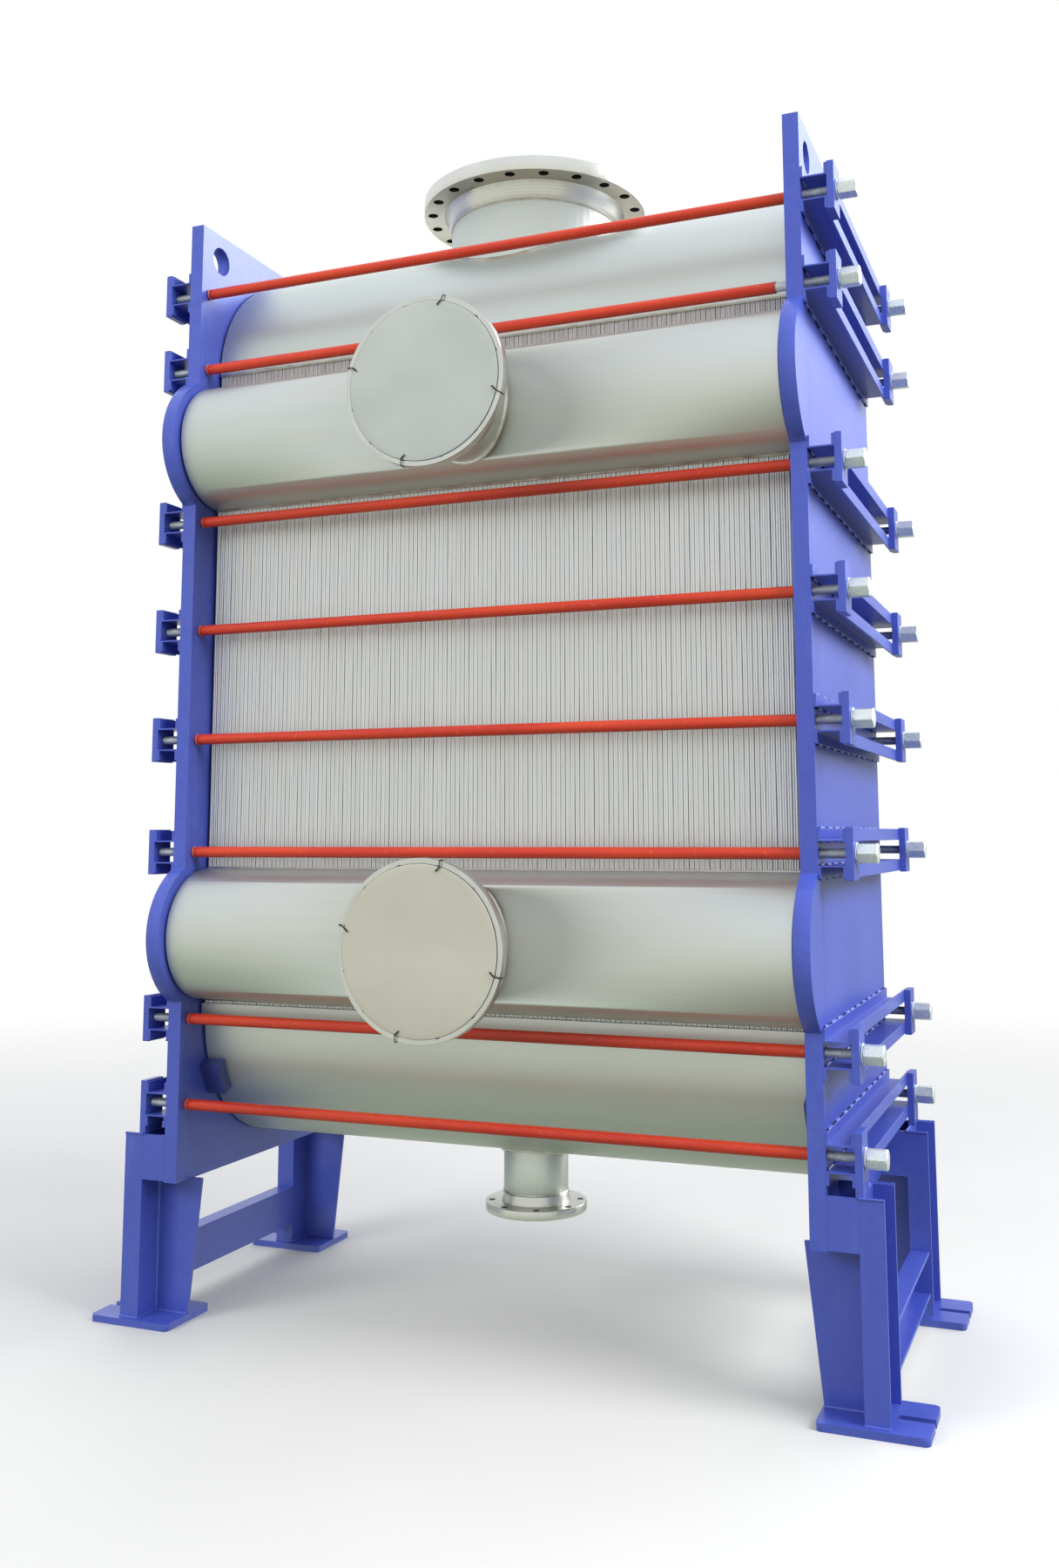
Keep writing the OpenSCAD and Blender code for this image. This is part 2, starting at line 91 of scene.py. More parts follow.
class Shape:
    """Points and faces of a piece while it is being made."""

    def __init__(self):
        self.points = []
        self.faces = []

    def loft(self, rings, caps=True, closed=False):
        """Joins rings that have the same number of points, in order."""
        first = len(self.points)
        sides = len(rings[0])
        for ring in rings:
            self.points.extend(ring)
        spans = len(rings) if closed else len(rings) - 1
        for i in range(spans):
            a = first + i * sides
            b = first + (i + 1) % len(rings) * sides
            for j in range(sides):
                k = (j + 1) % sides
                self.faces.append((a + j, a + k, b + k, b + j))
        if caps and not closed:
            self.faces.append(tuple(range(first + sides - 1, first - 1, -1)))
            self.faces.append(tuple(range(first + spans * sides, first + (spans + 1) * sides)))

    def tube(self, path, radius, sides=6, closed=False, ripple=0.0):
        """Sweeps a round section along a path. ripple makes it uneven, as a weld bead is."""
        rings = []
        count = len(path)
        side = None
        for i, point in enumerate(path):
            ahead = path[(i + 1) % count] if closed or i + 1 < count else point
            behind = path[i - 1] if closed or i else point
            along = (ahead - behind).normalized()
            if side is None:
                side = along.cross(UP if abs(along.z) < 0.9 else Vector((0, 1, 0))).normalized()
            side = (side - along * side.dot(along)).normalized()
            other = along.cross(side)
            r = radius * (1 + ripple * ((i % 2) - 0.5 + random.uniform(-0.5, 0.5)))
            rings.append([point + side * (math.cos(turn) * r) + other * (math.sin(turn) * r)
                          for turn in turns(sides)])
        self.loft(rings, closed=closed)


def piece(name, shape, material, replaced=(), smooth=True):
    """Makes a mesh object of a shape, dresses it, and lets it ride on the frame."""
    mesh = bpy.data.meshes.new(name)
    mesh.from_pydata([tuple(p) for p in shape.points], [], shape.faces)
    mesh.update()
    if smooth:
        mesh.polygons.foreach_set("use_smooth", [True] * len(mesh.polygons))
        mesh.set_sharp_from_angle(angle=math.radians(40))
    mesh.materials.append(material)
    obj = bpy.data.objects.new(name, mesh)
    bpy.context.scene.collection.objects.link(obj)
    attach(obj, "root")
    if replaced:
        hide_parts(*replaced)
    return obj


def steps(start, end, gap):
    """Points from start to end, about gap apart."""
    count = max(2, round((end - start).length / gap) + 1)
    return [start.lerp(end, i / (count - 1)) for i in range(count)]


# ---------------------------------------------------------------- material building

class Net:
    """A material's node tree, with a short call for each kind of node."""

    def __init__(self, name, **constants):
        self.material = bpy.data.materials.new(name)
        self.material.use_nodes = True
        self.tree = self.material.node_tree
        self.shader = self.tree.nodes["Principled BSDF"]
        for socket, value in constants.items():
            self.shader.inputs[socket.replace("_", " ")].default_value = value
        self.place = self.tree.nodes.new("ShaderNodeTexCoord").outputs["Object"]

    def set(self, socket, value):
        """Links a node's output to a socket, or sets the socket to a constant."""
        if isinstance(value, bpy.types.NodeSocket):
            self.tree.links.new(value, socket)
        else:
            socket.default_value = value

    def paint(self, **sockets):
        """Sets the shader's sockets, with _ for each space in a name."""
        for name, value in sockets.items():
            self.set(self.shader.inputs[name.replace("_", " ")], value)

    def stretched(self, scale, shift=(0, 0, 0)):
        """The place on the object, scaled along each axis and then shifted."""
        node = self.tree.nodes.new("ShaderNodeMapping")
        node.inputs["Scale"].default_value = scale
        node.inputs["Location"].default_value = shift
        self.tree.links.new(self.place, node.inputs["Vector"])
        return node.outputs["Vector"]

    def noise(self, scale, stretch=None, detail=3.0, rough=0.5):
        node = self.tree.nodes.new("ShaderNodeTexNoise")
        node.inputs["Scale"].default_value = scale
        node.inputs["Detail"].default_value = detail
        node.inputs["Roughness"].default_value = rough
        place = self.stretched(stretch) if stretch else self.place
        self.tree.links.new(place, node.inputs["Vector"])
        return node.outputs["Fac"]

    def spots(self, scale):
        node = self.tree.nodes.new("ShaderNodeTexVoronoi")
        node.inputs["Scale"].default_value = scale
        self.tree.links.new(self.place, node.inputs["Vector"])
        return node.outputs["Distance"]

    def rings(self, axis, centre, scale):
        """Fine turned grooves round an axis through centre."""
        node = self.tree.nodes.new("ShaderNodeTexWave")
        node.wave_type = "RINGS"
        node.rings_direction = axis
        node.inputs["Scale"].default_value = scale
        node.inputs["Distortion"].default_value = 0.6
        node.inputs["Detail"].default_value = 2.0
        shift = tuple(-c for c in centre)
        self.tree.links.new(self.stretched((1, 1, 1), shift), node.inputs["Vector"])
        return node.outputs["Fac"]

    def span(self, fac, low, high, new_low, new_high):
        """Maps a range of values to another one."""
        node = self.tree.nodes.new("ShaderNodeMapRange")
        for socket, value in zip(("From Min", "From Max", "To Min", "To Max"),
                                 (low, high, new_low, new_high)):
            node.inputs[socket].default_value = value
        self.tree.links.new(fac, node.inputs["Value"])
        return node.outputs["Result"]

    def calc(self, operation, a, b=0.0):
        node = self.tree.nodes.new("ShaderNodeMath")
        node.operation = operation
        self.set(node.inputs[0], a)
        self.set(node.inputs[1], b)
        return node.outputs[0]

    def holes(self, axis, centre, count, circle, radius):
        """1 on the walls of a ring of bolt holes, and 0 away from them, by the cosine rule."""
        shift = tuple(-c for c in centre)
        node = self.tree.nodes.new("ShaderNodeSeparateXYZ")
        self.tree.links.new(self.stretched((1, 1, 1), shift), node.inputs[0])
        across = node.outputs["X"]
        up = node.outputs["Y" if axis == "Z" else "Z"]
        share = 2 * math.pi / count
        turn = self.calc("FLOORED_MODULO", self.calc("ARCTAN2", up, across), share)
        near = self.calc("COSINE", self.calc("SUBTRACT", turn, share / 2))
        square = self.calc("ADD", self.calc("POWER", across, 2), self.calc("POWER", up, 2))
        reach = self.calc("SQRT", square)
        overlap = self.calc("MULTIPLY", self.calc("MULTIPLY", reach, near), 2 * circle)
        away = self.calc("SQRT", self.calc("SUBTRACT", self.calc("ADD", square, circle ** 2), overlap))
        return self.span(away, radius * 1.02, radius * 1.05, 1, 0)

    def mix(self, fac, a, b):
        node = self.tree.nodes.new("ShaderNodeMix")
        node.data_type = "RGBA"
        self.set(node.inputs[0], fac)
        self.set(node.inputs[6], a)
        self.set(node.inputs[7], b)
        return node.outputs[2]

    def bump(self, height, strength, depth, under=None):
        node = self.tree.nodes.new("ShaderNodeBump")
        node.inputs["Strength"].default_value = strength
        node.inputs["Distance"].default_value = depth
        self.tree.links.new(height, node.inputs["Height"])
        if under is not None:
            self.tree.links.new(under, node.inputs["Normal"])
        return node.outputs["Normal"]


def rgb(red, green, blue):
    """A colour given as the eye sees it, 0 to 255, turned into linear light."""
    def linear(value):
        value /= 255
        return value / 12.92 if value <= 0.04045 else ((value + 0.055) / 1.055) ** 2.4
    return (linear(red), linear(green), linear(blue), 1.0)


def enamel(name="blue_enamel", weld=False, shade=1.0):
    """Sprayed blue paint with a little orange peel and dust. shade below 1 darkens it towards near-black, as
    painted shade.
    """
    net = Net(name, Coat_Weight=0.22, Coat_Roughness=0.16, Specular_IOR_Level=0.45)
    cloud = net.span(net.noise(1.7, detail=4), 0.3, 0.7, 0, 1)
    base = net.mix(cloud, rgb(62, 78, 171), rgb(72, 88, 180))
    mottle = net.span(net.noise(34, detail=5, rough=0.65), 0.42, 0.72, 0, 0.5)
    base = net.mix(mottle, base, rgb(56, 72, 163))
    dust = net.span(net.noise(9, stretch=(1, 1, 0.25), detail=6, rough=0.7), 0.60, 0.80, 0, 0.35)
    base = net.mix(dust, base, rgb(104, 116, 188))
    # painted shade: the paint darkened towards near-black, for a copy of it used where shadow falls
    if shade < 1:
        base = net.mix(1 - shade, base, rgb(20, 24, 40))
    peel = net.bump(net.noise(190, detail=2), 0.10, 0.0012)
    sag = net.bump(net.noise(14, detail=2), 0.10, 0.006, peel)
    if weld:
        sag = net.bump(net.noise(150, detail=3), 0.5, 0.003, sag)
    net.paint(Base_Color=base, Normal=sag, Roughness=net.span(cloud, 0, 1, 0.34, 0.44))
    return net.material


def sleeve_plastic():
    """Orange-red tube with pale scuffs, drawn unevenly along its length."""
    net = Net("red_sleeve", Coat_Weight=0.25, Coat_Roughness=0.12, Specular_IOR_Level=0.35)
    cloud = net.span(net.noise(5, stretch=(0.5, 6, 6), detail=4), 0.3, 0.7, 0, 1)
    base = net.mix(cloud, rgb(182, 40, 20), rgb(204, 62, 30))
    speck = net.span(net.noise(60, detail=6, rough=0.75), 0.60, 0.74, 0, 0.6)
    base = net.mix(speck, base, rgb(230, 132, 96))
    wavy = net.bump(net.noise(42, stretch=(0.35, 1, 1), detail=3), 0.35, 0.004)
    wavy = net.bump(net.noise(160, detail=3), 0.16, 0.0015, wavy)
    net.paint(Base_Color=base, Normal=wavy, Roughness=net.span(cloud, 0, 1, 0.34, 0.46))
    return net.material


def sleeve_ring_highlight():
    """Painted highlight: the paler red of the narrow raised ring near each sleeve's left end."""
    net = Net("sleeve_ring_painted_highlight", Roughness=0.5)
    fac = net.span(net.noise(70, detail=4), 0.3, 0.7, 0, 1)
    net.paint(Base_Color=net.mix(fac, rgb(214, 120, 110), rgb(226, 150, 140)))
    return net.material


def lining_painted_shade():
    """Painted shade: the lining plates are coloured dark navy, standing for the shadow in the joint between
    the headers and the end plates.
    """
    net = Net("lining_painted_shade", Metallic=0.5, Roughness=0.6)
    fac = net.span(net.noise(12, detail=3), 0.3, 0.7, 0, 1)
    net.paint(Base_Color=net.mix(fac, rgb(38, 42, 66), rgb(58, 62, 84)))
    return net.material


def rolled_stainless():
    """Sheet with its rolling grain along X and slow changes of tint round it."""
    net = Net("rolled_stainless", Metallic=1.0)
    tint = net.span(net.noise(1.6, stretch=(0.35, 1.6, 1.6), detail=3), 0.3, 0.7, 0, 1)
    base = net.mix(tint, rgb(202, 206, 198), rgb(214, 212, 208))
    # broad paler bands along X
    pale_bands_along_x = net.span(net.noise(2.6, stretch=(0.25, 3, 3), detail=5, rough=0.6), 0.45, 0.75, 0, 0.7)
    base = net.mix(pale_bands_along_x, base, rgb(206, 212, 210))
    grain = net.noise(5, stretch=(1.2, 120, 120), detail=4, rough=0.6)
    cloud = net.noise(3.4, stretch=(0.6, 2, 2), detail=4)
    waves = net.bump(net.noise(2.2, stretch=(0.25, 1.2, 1.2), detail=1), 0.20, 0.008)
    fine = net.bump(grain, 0.07, 0.0008, waves)
    rough = net.span(cloud, 0.3, 0.7, 0.46, 0.54)
    net.paint(Base_Color=base, Normal=fine, Roughness=rough)
    return net.material


def plate_edge_steel():
    """Thin welded plate edges: every edge has its own tone, and heat tints it in places."""
    net = Net("plate_edges", Metallic=0.85)
    tone = net.span(net.noise(1, stretch=(63, 1, 0.35), detail=2), 0.32, 0.68, 0, 1)
    base = net.mix(tone, rgb(210, 210, 208), rgb(222, 222, 222))
    tint = net.span(net.noise(1, stretch=(120, 1, 3.0), detail=3), 0.55, 0.75, 0, 0.5)
    base = net.mix(tint, base, rgb(216, 208, 192))
    weld = net.bump(net.noise(1, stretch=(240, 240, 110), detail=3), 0.4, 0.002)
    rough = net.span(tone, 0, 1, 0.42, 0.56)
    net.paint(Base_Color=base, Normal=weld, Roughness=rough)
    return net.material


def turned_steel(name, shades, axis, centre, count, circle, radius):
    """Machined steel with turned grooves, and painted shade on the walls of its bolt holes."""
    net = Net(name, Metallic=1.0)
    cloud = net.span(net.noise(9, detail=4), 0.3, 0.7, 0, 1)
    base = net.mix(cloud, *shades)
    # painted shade: the walls of the bolt holes are coloured dark
    base = net.mix(net.holes(axis, centre, count, circle, radius), base, rgb(76, 73, 70))
    groove = net.bump(net.rings(axis, centre, 70), 0.18, 0.0008)
    nick = net.bump(net.noise(120, detail=3), 0.08, 0.0008, groove)
    net.paint(Base_Color=base, Normal=nick, Roughness=net.span(cloud, 0, 1, 0.30, 0.42))
    return net.material


def weld_steel():
    """Brushed weld beads, straw-coloured in places."""
    net = Net("stainless_weld", Metallic=1.0)
    tint = net.span(net.noise(22, detail=4), 0.35, 0.65, 0, 1)
    base = net.mix(tint, rgb(190, 184, 172), rgb(214, 212, 206))
    net.paint(Base_Color=base, Roughness=net.span(tint, 0, 1, 0.32, 0.48),
              Normal=net.bump(net.noise(260, detail=2), 0.3, 0.001))
    return net.material


def zinc():
    """Zinc plate with a faint spangle."""
    net = Net("zinc_plate", Metallic=0.9)
    spangle = net.span(net.spots(120), 0.0, 0.6, 0, 1)
    base = net.mix(spangle, rgb(206, 212, 214), rgb(228, 232, 232))
    net.paint(Base_Color=base, Roughness=net.span(spangle, 0, 1, 0.30, 0.46),
              Normal=net.bump(net.noise(150, detail=3), 0.15, 0.001))
    return net.material


def rod_steel():
    """Pale steel with some grime, for the threaded rods."""
    net = Net("rod_steel", Metallic=0.55)
    grime = net.span(net.noise(60, stretch=(0.4, 1, 1), detail=4), 0.4, 0.7, 0, 1)
    net.paint(Base_Color=net.mix(grime, rgb(214, 218, 218), rgb(184, 188, 188)),
              Roughness=net.span(grime, 0, 1, 0.36, 0.52))
    return net.material


def blank_board(name, light, dark):
    """A thin pale sheet, slightly soiled and scratched."""
    net = Net(name, Specular_IOR_Level=0.4, Metallic=0.25)
    cloud = net.span(net.noise(3.2, stretch=(1, 1, 1.3), detail=4), 0.3, 0.7, 0, 1)
    base = net.mix(cloud, light, dark)
    scuff = net.span(net.noise(11, stretch=(1, 1, 5), detail=7, rough=0.75), 0.62, 0.78, 0, 0.35)
    base = net.mix(scuff, base, rgb(160, 158, 146))
    wavy = net.bump(net.noise(6, detail=2), 0.2, 0.004)
    net.paint(Base_Color=base, Normal=wavy, Roughness=net.span(cloud, 0, 1, 0.42, 0.55))
    return net.material


def annealed_wire():
    """Dark soft wire."""
    net = Net("annealed_wire", Metallic=0.6)
    fac = net.span(net.noise(160, detail=3), 0.3, 0.7, 0, 1)
    net.paint(Base_Color=net.mix(fac, rgb(34, 32, 34), rgb(62, 56, 54)),
              Roughness=net.span(fac, 0, 1, 0.4, 0.6))
    return net.material


def shadow_gap():
    """Painted shade: the near-black of the shadow in a narrow joint."""
    net = Net("joint_painted_shade", Specular_IOR_Level=0.1)
    fac = net.span(net.noise(60, detail=2), 0.3, 0.7, 0, 1)
    net.paint(Base_Color=net.mix(fac, rgb(22, 24, 58), rgb(34, 36, 80)),
              Roughness=net.span(fac, 0, 1, 0.7, 0.9))
    return net.material


BLUE = enamel()
# a half-darkened copy of the blue paint: painted shade for the header saddles
SHADED_BLUE = enamel("blue_painted_shade", shade=0.5)
BLUE_WELD = enamel("blue_weld", weld=True)
RED = sleeve_plastic()
RING_HIGHLIGHT = sleeve_ring_highlight()
SHEET = rolled_stainless()
LINING_SHADE = lining_painted_shade()
EDGES = plate_edge_steel()
WELD = weld_steel()
ZINC = zinc()
ROD = rod_steel()
WIRE = annealed_wire()
JOINT_SHADE = shadow_gap()
BLANKS = {
    "upper": blank_board("upper_blank_sheet", rgb(186, 190, 184), rgb(174, 180, 174)),
    "lower": blank_board("lower_blank_sheet", rgb(196, 193, 179), rgb(186, 181, 166)),
}


# ---------------------------------------------------------------- nodes that keep their CAD shape

def dress(node, material, edge=0.0015, segments=2):
    """Gives a CAD node its material, and rounds its sharp edges a little."""
    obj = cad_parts[node]
    obj.data.materials.clear()
    obj.data.materials.append(material)
    obj.data.polygons.foreach_set("material_index", [0] * len(obj.data.polygons))
    # the mesh's doubled points are joined first, so that a bevel runs along whole edges
    weld = obj.modifiers.new("join", "WELD")
    weld.merge_threshold = 0.00005
    if edge:
        bevel = obj.modifiers.new("edges", "BEVEL")
        bevel.width = edge
        bevel.segments = segments
        bevel.limit_method = "ANGLE"
        bevel.angle_limit = math.radians(35)
        bevel.harden_normals = True
        bevel.use_clamp_overlap = True


def dress_frame():
    """Materials and edge widths of the end plates, beams, legs, headers and pipes."""
    for side in ("left", "right"):
        dress(side + "_end_plate", BLUE, 0.0018, 3)
        # the lining plates are coloured dark as painted shade
        dress(side + "_lining_plate", LINING_SHADE, 0)
        # the header saddles get the darkened copy of the paint, as painted shade
        dress(side + "_header_saddles", SHADED_BLUE, 0.002)
        dress(side + "_bearing_plates", BLUE, 0.002)
        dress(side + "_cross_bar", BLUE, 0.002)
        for level in ("upper", "lower"):
            dress(f"{side}_{level}_channels", BLUE, 0.0012)
        for end in ("front", "rear"):
            for part, edge in (("leg_column", 0.001), ("leg_head", 0.0004), ("leg_taper", 0.002),
                               ("base_plate", 0.003)):
                dress(f"{end}_{side}_{part}", BLUE, edge)
    dress("right_washers", ZINC, 0.0008)
    dress("bottom_edge_bars", SHEET, 0.0015)
    for header in ("top", "bottom", "upper_front", "lower_front"):
        dress(header + "_header_shell", SHEET, 0)
        dress(header + "_port_pipe", SHEET, 0.0004)


def dress_flanges():
    """Flanges of turned steel, with painted shade on the bolt holes' walls, a lighter copy of the steel as
    painted light on the top flange, and a darker copy as painted shade on the others.
    """
    # the same steel in two copies: lighter on the top flange as painted light, darker on the bottom and
    # front flanges as painted shade that tones down their reflections
    lit_flange_tones = (rgb(210, 208, 200), rgb(221, 219, 212))
    shaded_flange_tones = (rgb(196, 195, 188), rgb(210, 209, 202))
    for name, shades, bolts in (("top", lit_flange_tones, TOP_BOLTS), ("bottom", shaded_flange_tones, BOTTOM_BOLTS)):
        steel = turned_steel(name + "_flange_steel", shades, "Z", (0, mid_y, 0), *bolts)
        dress(name + "_port_flange", steel, 0.0015)
    for name in ("upper_front", "lower_front"):
        low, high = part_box(name + "_port_flange")
        middle = (0, 0, (low.z + high.z) / 2)
        steel = turned_steel(name + "_flange_steel", shaded_flange_tones, "Y", middle, *FRONT_BOLTS)
        dress(name + "_port_flange", steel, 0.0015)
        # a soft light from the front would fill the dark image of a port in its header
        for part in ("_port_flange", "_port_pipe"):
            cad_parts[name + part].visible_glossy = False


# ---------------------------------------------------------------- the pack

def plate_pack():
    """Each cassette is two pressed plates whose edges meet in a pair of small welded noses."""
    gap = (pack_high.x - pack_low.x) / CASSETTES
    half = 0.46 * gap
    # the outline of one front edge, in halves of a cassette's width: across, and back from its tip
    nose = [(-1.0, 0.22), (-0.82, 0.04), (-0.5, 0.0), (-0.2, 0.05), (0.0, 0.24),
            (0.2, 0.05), (0.5, 0.0), (0.82, 0.04), (1.0, 0.22)]
    levels = 36
    shape = Shape()
    for i in range(CASSETTES):
        centre = pack_low.x + gap * (i + 0.5)
        lean = random.uniform(-0.03, 0.03)
        rings = []
        for k in range(levels):
            z = pack_low.z + (pack_high.z - pack_low.z) * k / (levels - 1)
            sway = noise.noise(Vector((i * 3.7, 0.4, z * 2.3))) * 0.05 + lean
            depth = 0.002 * (1 + noise.noise(Vector((i * 1.9, 7.1, z * 5))))
            front = [(centre + half * (x + sway), pack_low.y + depth + y * half, z) for x, y in nose]
            back = [(centre + half * (sway - x), pack_high.y - depth - y * half, z) for x, y in nose]
            rings.append([Vector(p) for p in front + back])
        shape.loft(rings)
    piece("plate_pack", shape, EDGES, ["plate_cassettes"])


# ---------------------------------------------------------------- rods, sleeves and nuts

def thread_rings(start, end, centre_y, centre_z, sides=14):
    """Rings of a real helical thread between two places along X."""
    pitch = 0.0035
    deep = 0.0019
    per_turn = 4
    count = round(abs(end - start) / pitch * per_turn)
    rings = []
    for i in range(count + 1):
        x = start + (end - start) * i / count
        ring = []
        for j, turn in enumerate(turns(sides)):
            phase = (x / pitch - j / sides) % 1
            r = ROD_RADIUS - deep * abs(2 * phase - 1)
            ring.append(Vector((x, centre_y + r * math.cos(turn), centre_z + r * math.sin(turn))))
        rings.append(ring)
    return rings


def circle_x(x, r, centre_y, centre_z, sides=14):
    """A ring of points round an axis along X."""
    return [Vector((x, centre_y + r * math.cos(t), centre_z + r * math.sin(t))) for t in turns(sides)]


def tie_rods(end):
    """Rods threaded at both ends, with a small weld where each one ends in its left bearing plate."""
    low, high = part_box(end + "_tie_rods")
    y = rod_y[end]
    bare = outer_x - 0.004
    tip_r = 0.0125
    crest_r = 0.0146
    bare_r = 0.0148
    welds = Shape()
    shape = Shape()
    for z in rod_rows:
        rings = [circle_x(low.x, tip_r, y, z), circle_x(low.x + 0.002, crest_r, y, z)]
        rings += thread_rings(low.x + 0.003, -bare, y, z)
        rings += [circle_x(-bare + 0.001, bare_r, y, z), circle_x(bare - 0.001, bare_r, y, z)]
        rings += thread_rings(bare, high.x - 0.003, y, z)
        rings += [circle_x(high.x - 0.002, crest_r, y, z), circle_x(high.x, tip_r, y, z)]
        shape.loft(rings)
        welds.tube(circle_x(low.x - 0.001, ROD_RADIUS + 0.002, y, z, 28), 0.0035, 6, closed=True, ripple=0.2)
    piece(end + "_threaded_rods", shape, ROD, [end + "_tie_rods"])
    piece(end + "_rod_end_welds", welds, BLUE_WELD)


def rod_sleeves(end):
    """Red tubes, very slightly uneven, cut square at both ends, with a thin wall."""
    y = rod_y[end]
    wall = 0.0025
    sides = 20
    shape = Shape()
    ring_shape = Shape()
    for row, z in enumerate(rod_rows):
        left = -inner_x + SLEEVE_CLEARANCE
        right = inner_x - (SHORT_SLEEVE_GAP if row == short_row else SLEEVE_CLEARANCE)
        wander = random.uniform(0, 50)
        outer = []
        for point in steps(Vector((left, 0, 0)), Vector((right, 0, 0)), 0.03):
            r = SLEEVE_RADIUS - 0.0004 + 0.0004 * noise.noise(Vector((point.x * 4, wander, row)))
            outer.append(circle_x(point.x, r, y, z, sides))
        inner = [circle_x(x, SLEEVE_RADIUS - wall, y, z, sides) for x in (right, left)]
        shape.loft([inner[1]] + outer + [inner[0]], caps=False)
        shape.loft(inner, caps=False)
        # a narrow raised ring near each sleeve's left end, coloured paler as a painted highlight
        hoop = [circle_x(left + along, SLEEVE_RADIUS + rise, y, z, sides)
                for along, rise in ((0.004, -0.0002), (0.0048, 0.0006), (0.0072, 0.0006), (0.008, -0.0002))]
        ring_shape.loft(hoop, caps=False)
    piece(end + "_red_sleeves", shape, RED, [end + "_rod_sleeves"])
    piece(end + "_sleeve_rings", ring_shape, RING_HIGHLIGHT)


def nut_rings(start, length, y, z, turned):
    """A hexagon nut with both ends chamfered, as rings along X."""
    inner = ROD_RADIUS - 0.001
    face = 0.475 * NUT_ACROSS_FLATS
    corner = 0.0312
    slope = math.tan(math.radians(30))
    rings = [[], [], [], [], [], []]
    for turn in turns(48):
        off = (turn + math.pi / 6) % (math.pi / 3) - math.pi / 6
        reach = min(NUT_ACROSS_FLATS / 2 / math.cos(off), corner)
        fall = max(0.0, (reach - face) * slope)
        sizes = (inner, face, reach, reach, face, inner)
        places = (0, 0, fall, length - fall, length, length)
        for ring, r, along in zip(rings, sizes, places):
            ring.append(Vector((start + along, y + r * math.cos(turn + turned),
                                z + r * math.sin(turn + turned))))
    return rings


def nuts():
    """Nuts on every rod at the right-hand end, not all turned alike."""
    low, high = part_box("right_nuts")
    shape = Shape()
    for end in ("front", "rear"):
        for z in rod_rows:
            turned = math.radians(random.choice((90, 90, 90, 84, 97, 102, 76)))
            shape.loft(nut_rings(low.x, high.x - low.x, rod_y[end], z, turned), closed=True)
    piece("right_hex_nuts", shape, ZINC, ["right_nuts"])


# ---------------------------------------------------------------- blanks and their wires

def blank_sheet(level):
    """A thin disc that isn't quite flat."""
    node = level + "_front_blank"
    low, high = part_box(node)
    centre_z = (low.z + high.z) / 2
    radius = (high.z - low.z) / 2
    sides = 72
    shares = (0.02, 0.2, 0.4, 0.6, 0.8, 0.93, 0.985)

    def ring(r, front, edge=0.0):
        made = []
        for turn in turns(sides):
            x = r * math.cos(turn)
            z = centre_z + r * math.sin(turn)
            lift = 0.0008 * (1 + noise.noise(Vector((x * 7, z * 7, 3.0))))
            y = low.y + lift + edge if front else high.y - 0.0002 - edge
            made.append(Vector((x, y, z)))
        return made

    rings = [ring(radius * share, True) for share in shares]
    rings += [ring(radius, True, 0.0007), ring(radius, False, 0.0006), ring(radius * 0.985, False)]
    shape = Shape()
    shape.loft(rings)
    # a thin dark tube round the blank's edge is painted shade, the shadow where the blank meets the flange
    rim = Shape()
    rim.tube([Vector((radius * math.cos(t), high.y - 0.0006, centre_z + radius * math.sin(t)))
              for t in turns(sides)], 0.0014, 5, closed=True)
    piece(level + "_blank_edge_shade", rim, JOINT_SHADE)
    sheet = piece(level + "_blank_sheet", shape, BLANKS[level], [node])
    sheet.visible_glossy = False


def wire_ties(level):
    """Each wire comes over the flange's rim and the blank's edge, and ends in a short twist."""
    node = level + "_front_blank_ties"
    flange_low, flange_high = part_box(level + "_front_port_flange")
    centre = Vector((0, 0, (flange_low.z + flange_high.z) / 2))
    holes, bolt_circle, _ = FRONT_BOLTS
    thick = 0.0016
    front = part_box(node)[0].y + thick + 0.0004
    shape = Shape()
    for hole in TIED_HOLES:
        turn = math.radians((hole + 0.5) * 360 / holes)
        out = Vector((math.cos(turn), 0, math.sin(turn)))
        across = Vector((-out.z, 0, out.x))
        bend = random.uniform(-0.006, 0.006)

        def at(reach, y, side=0.0):
            return centre + out * reach + across * side + Vector((0, y, 0))

        route = [at(bolt_circle + 0.031, flange_low.y + 0.02), at(bolt_circle + 0.031, front + 0.004),
                 at(bolt_circle + 0.024, front, bend * 0.3), at(bolt_circle + 0.016, front, bend * 0.7),
                 at(bolt_circle + 0.010, front, bend)]
        shape.tube(smoothed(route), thick, 8)
        for strand in (0, 1):
            twist = []
            for i in range(15):
                angle = strand * math.pi + i * 0.9
                reach = bolt_circle + 0.011 - 0.0010 * i
                twist.append(at(reach + 0.0016 * math.cos(angle), front + 0.0002,
                                bend + 0.0022 * math.sin(angle) + 0.0006 * i))
            shape.tube(twist, thick * 0.8, 6)
    piece(level + "_twisted_wires", shape, WIRE, [node])


def smoothed(points, per_span=5):
    """A Catmull-Rom curve through the points."""
    ends = [points[0] * 2 - points[1]] + points + [points[-1] * 2 - points[-2]]
    made = []
    for i in range(1, len(ends) - 2):
        a, b, c, d = ends[i - 1:i + 3]
        for k in range(per_span):
            t = k / per_span
            made.append(0.5 * (2 * b + (c - a) * t + (2 * a - 5 * b + 4 * c - d) * t ** 2
                               + (3 * b - a - 3 * c + d) * t ** 3))
    made.append(points[-1])
    return made


# ---------------------------------------------------------------- weld seams

